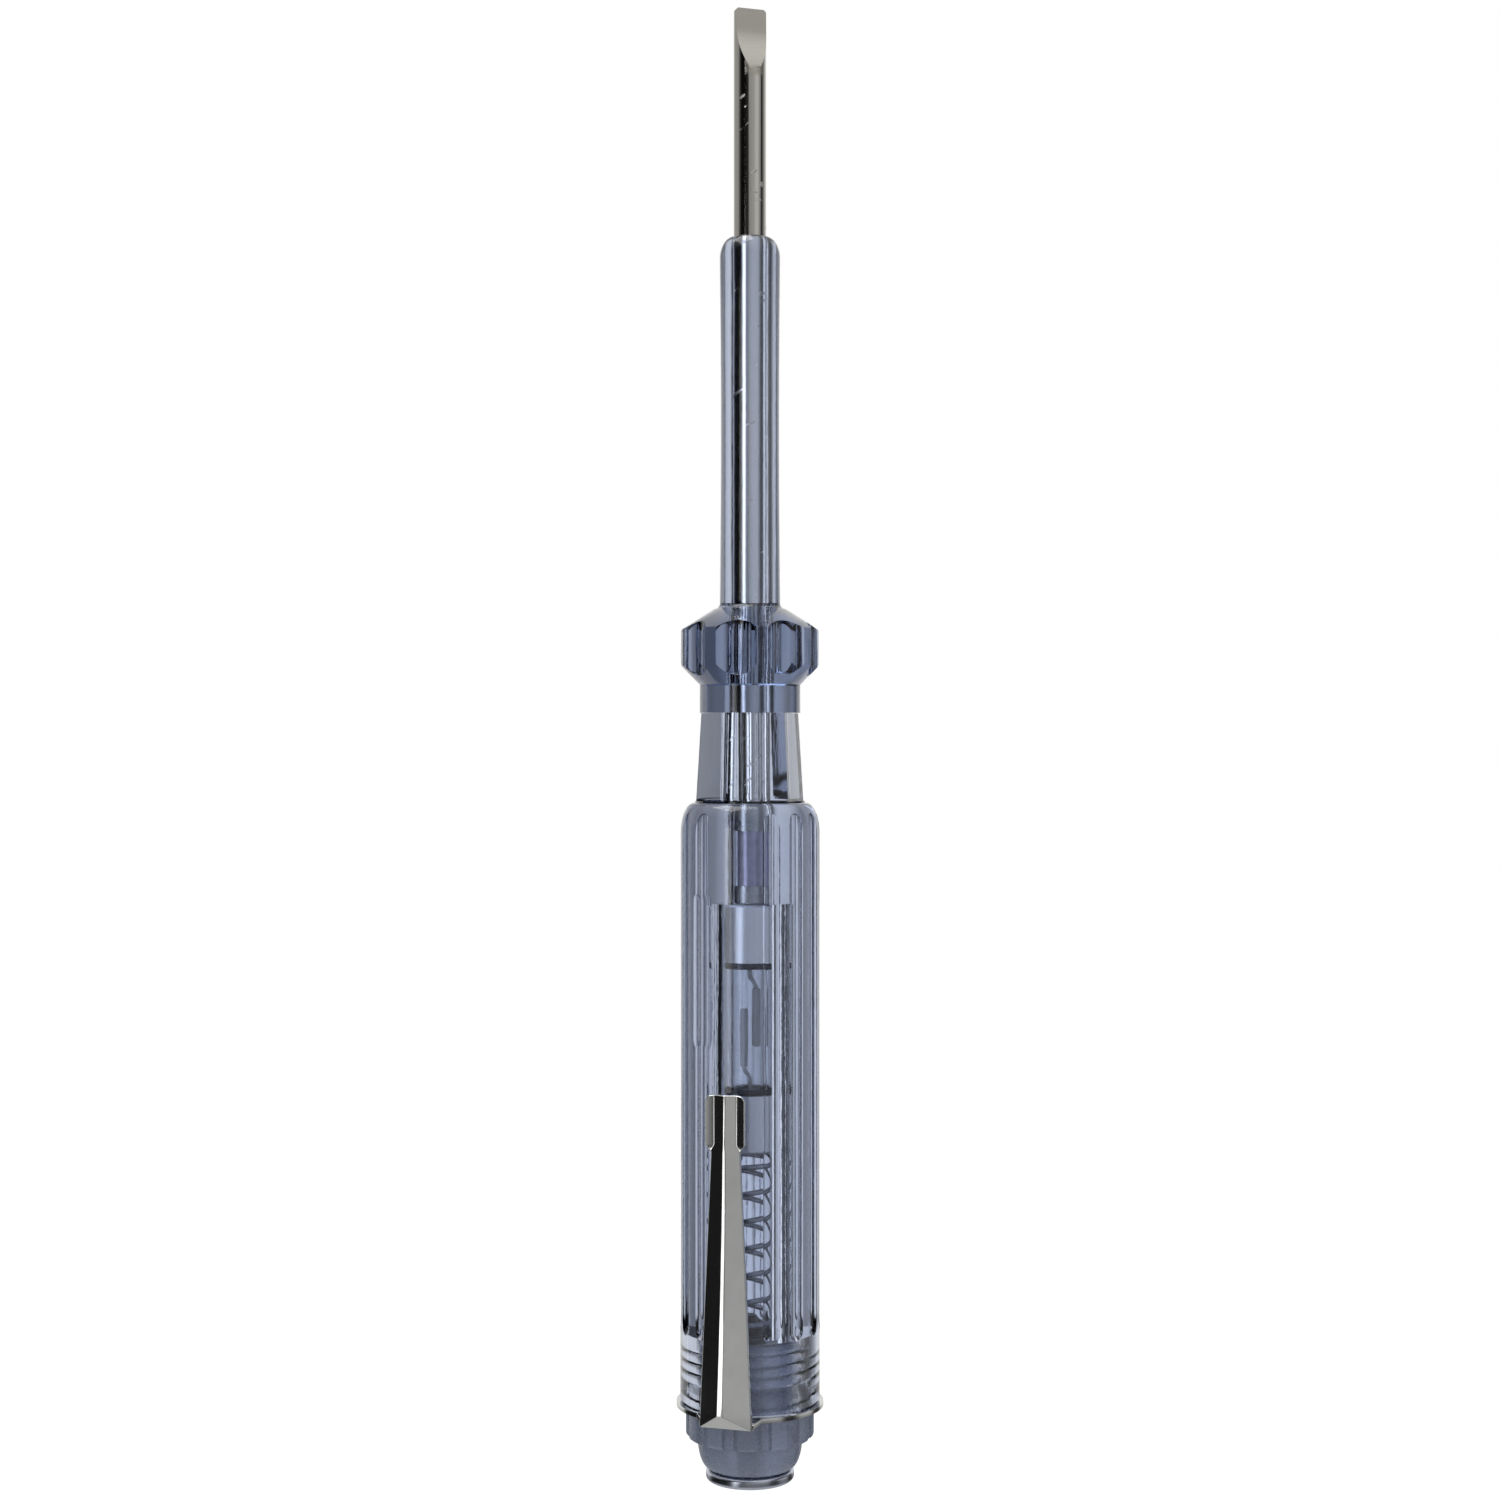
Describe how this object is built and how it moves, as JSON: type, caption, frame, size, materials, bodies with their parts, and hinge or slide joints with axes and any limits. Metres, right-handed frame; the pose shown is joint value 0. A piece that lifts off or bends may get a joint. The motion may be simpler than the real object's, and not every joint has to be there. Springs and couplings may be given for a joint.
{
  "type": "voltage tester screwdriver",
  "caption": "Slim slotted screwdriver with a neon voltage tester inside a clear fluted handle, a screw cap with a touch disc and a pocket clip.",
  "frame": {"origin": "middle of the touch disc's end face, on the handle's axis", "axes": "+Z along the tool from the touch disc to the blade tip, and the pocket clip faces -Y"},
  "size_m": [0.014, 0.0162, 0.14],
  "materials": {
    "chrome_blade": "polished chrome plate, finely ground on the tip's faces",
    "smoky_sleeve": "clear, smoky blue-grey, glossy",
    "smoky_handle": "clear, smoky blue-grey, glossy",
    "smoky_cap": "clear, smoky blue-grey, glossy, thicker and darker to look at",
    "resistor_lacquer": "dull lacquer on a carbon rod",
    "plated_ferrule": "tin plate",
    "lamp_glass": "clear, thin",
    "lamp_cap": "bright nickel plate",
    "basing_cement": "dull, dark",
    "electrode": "plain nickel wire",
    "spring_wire": "drawn spring steel",
    "nose_brass": "turned",
    "touch_plate": "bright nickel plate",
    "clip_plate": "bright nickel plate on a stamped sheet"
  },
  "bodies": {
    "handle": {"handle": "smoky_handle", "front_sleeve": "smoky_sleeve", "blade": "chrome_blade", "resistor_body": "resistor_lacquer", "resistor_front_ferrule": "plated_ferrule", "resistor_rear_ferrule": "plated_ferrule", "lamp_glass": "lamp_glass", "lamp_front_cap": "lamp_cap", "lamp_rear_cap": "lamp_cap", "lamp_front_cement": "basing_cement", "lamp_rear_cement": "basing_cement", "lamp_front_electrode": "electrode", "lamp_rear_electrode": "electrode"},
    "cap_carriage": {"contact_spring": "spring_wire"},
    "cap": {"screw_cap": "smoky_cap", "touch_contact": "touch_plate", "contact_nose": "nose_brass"},
    "clip": {"clip_ring": "clip_plate"},
    "clip_leaf": {"clip_leaf": "clip_plate"}
  },
  "joints": [
    {"name": "cap_travel", "type": "slide", "parent": "handle", "child": "cap_carriage", "axis": [0, 0, -1], "range_m": [0, 0.006], "deforming": ["contact_spring"]},
    {"name": "cap_turn", "type": "hinge", "parent": "cap_carriage", "child": "cap", "pos_m": [0, 0, 0], "axis": [0, 0, -1], "range_deg": [0, 2161]},
    {"name": "clip_swivel", "type": "hinge", "parent": "handle", "child": "clip", "pos_m": [0, 0, 0.0073], "axis": [0, 0, 1], "continuous": true},
    {"name": "clip_flex", "type": "hinge", "parent": "clip", "child": "clip_leaf", "pos_m": [0, -0.00695, 0.0066], "axis": [1, 0, 0], "range_deg": [0, 6], "stiffness_Nm_per_rad": 0.5}
  ],
  "couplings": [
    {"joint": "cap_turn", "follows": "cap_travel", "rad_per_m": 6283.2}
  ]
}
